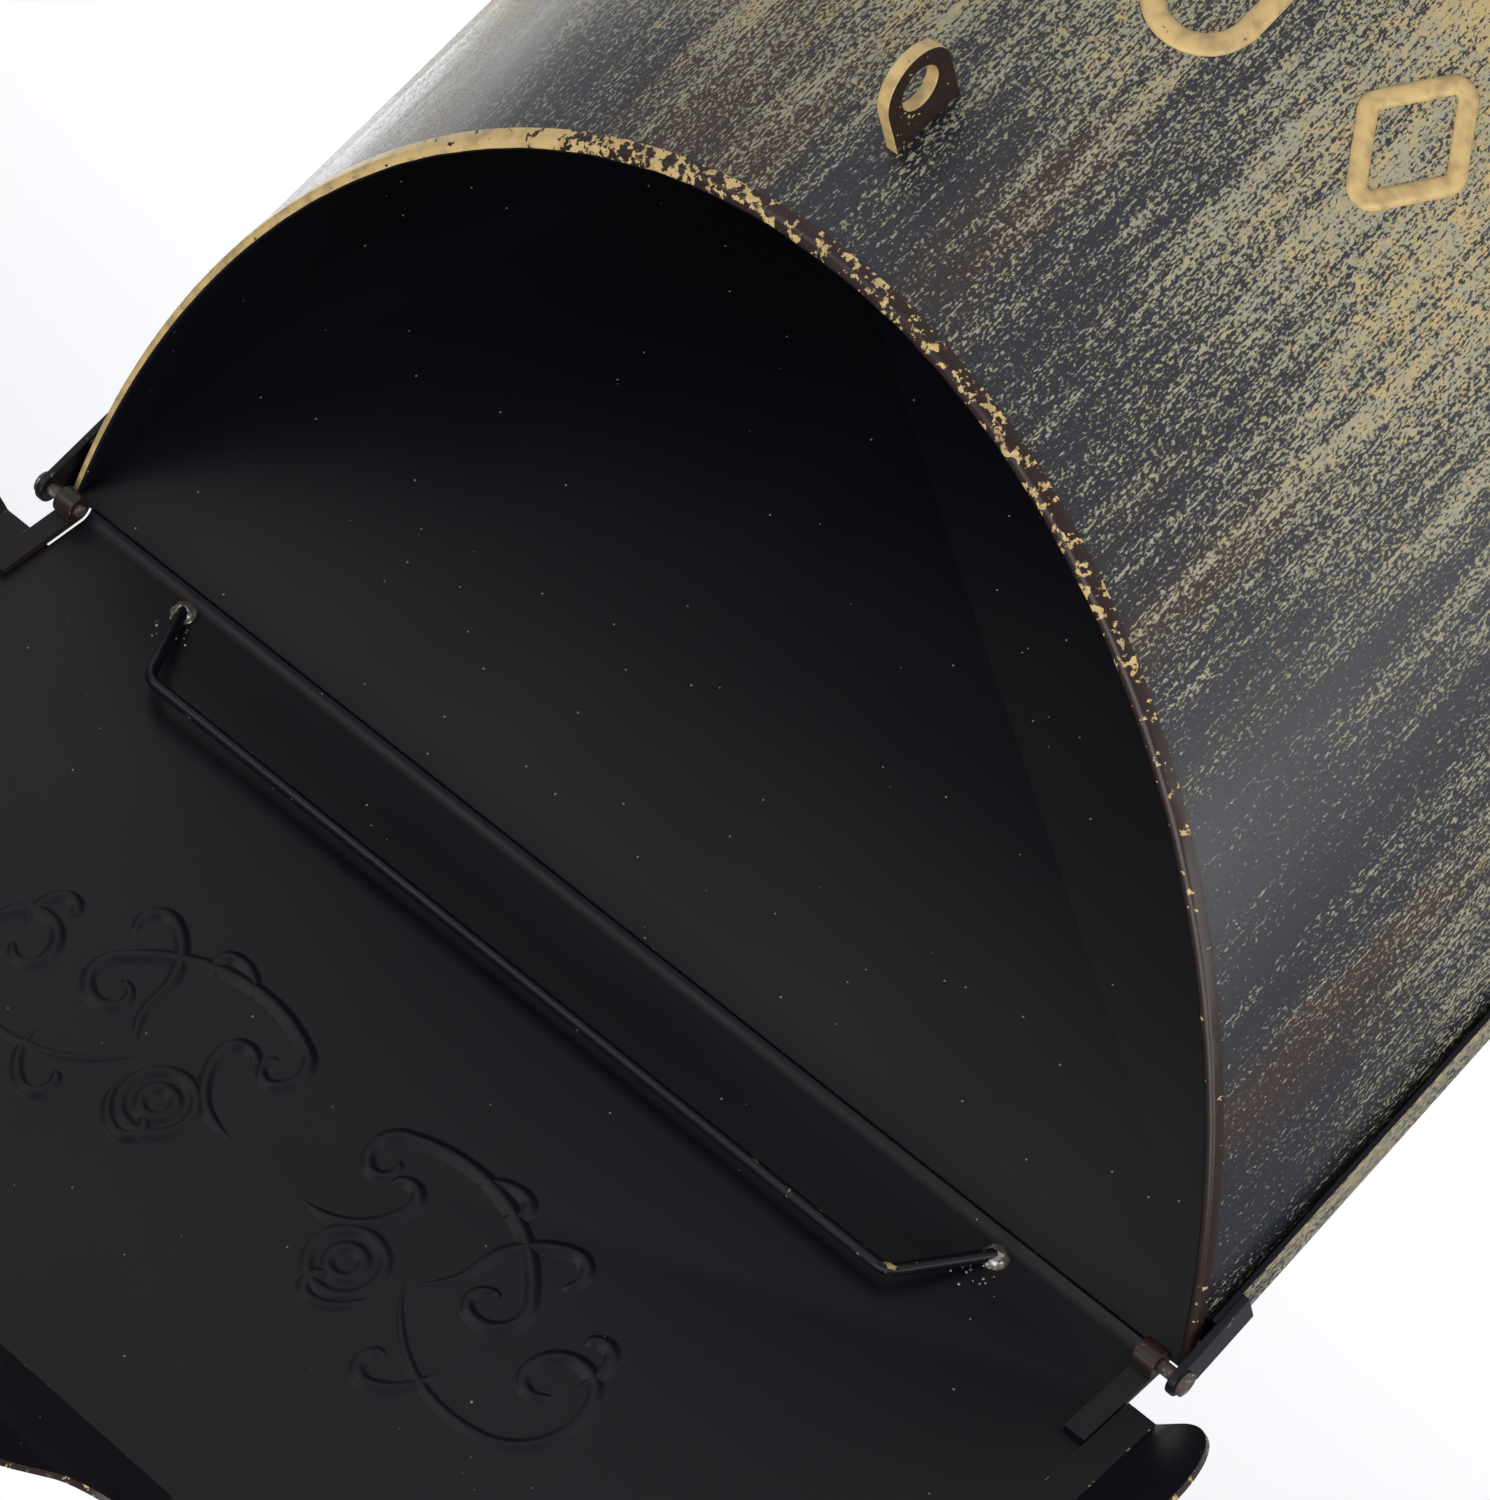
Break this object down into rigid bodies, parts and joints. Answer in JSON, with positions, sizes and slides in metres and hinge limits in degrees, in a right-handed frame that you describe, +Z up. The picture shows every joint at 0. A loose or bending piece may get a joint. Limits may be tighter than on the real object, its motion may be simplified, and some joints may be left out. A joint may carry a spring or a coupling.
{
  "type": "letterbox",
  "caption": "Wall letterbox of painted sheet steel with a round front, a hinged hood lid with a tongue, a padlock staple and a wire stay",
  "frame": {"origin": "centre of the wall face of the back panel", "axes": "+X to the box's right seen from the front, +Y into the wall, +Z up"},
  "size_m": [0.304, 0.126, 0.5051],
  "materials": {
    "outer_paint": "satin",
    "inner_paint": "satin",
    "gilt_edge": "satin",
    "pin_steel": "brushed"
  },
  "bodies": {
    "box": {"body_shell": "outer_paint", "back_panel": "inner_paint", "bottom_panel": "inner_paint", "rim_hem": "gilt_edge", "front_staple": "gilt_edge", "front_motifs": "gilt_edge", "hinge_ear_left": "outer_paint", "hinge_ear_right": "outer_paint", "hinge_pin_left": "pin_steel", "hinge_pin_right": "pin_steel"},
    "lid": {"lid_panel": "inner_paint", "lid_scrollwork": "inner_paint", "lid_skirt_left": "outer_paint", "lid_skirt_right": "outer_paint", "lid_front_flap": "outer_paint", "lid_knuckle_left": "outer_paint", "lid_knuckle_right": "outer_paint", "wire_stay": "pin_steel", "wire_weld_left": "gilt_edge", "wire_weld_right": "gilt_edge"}
  },
  "joints": [
    {"name": "lid_hinge", "type": "hinge", "parent": "box", "child": "lid", "pos_m": [0, -0.00449, 0.1825], "axis": [1, 0, 0], "range_deg": [-13, 106]}
  ]
}
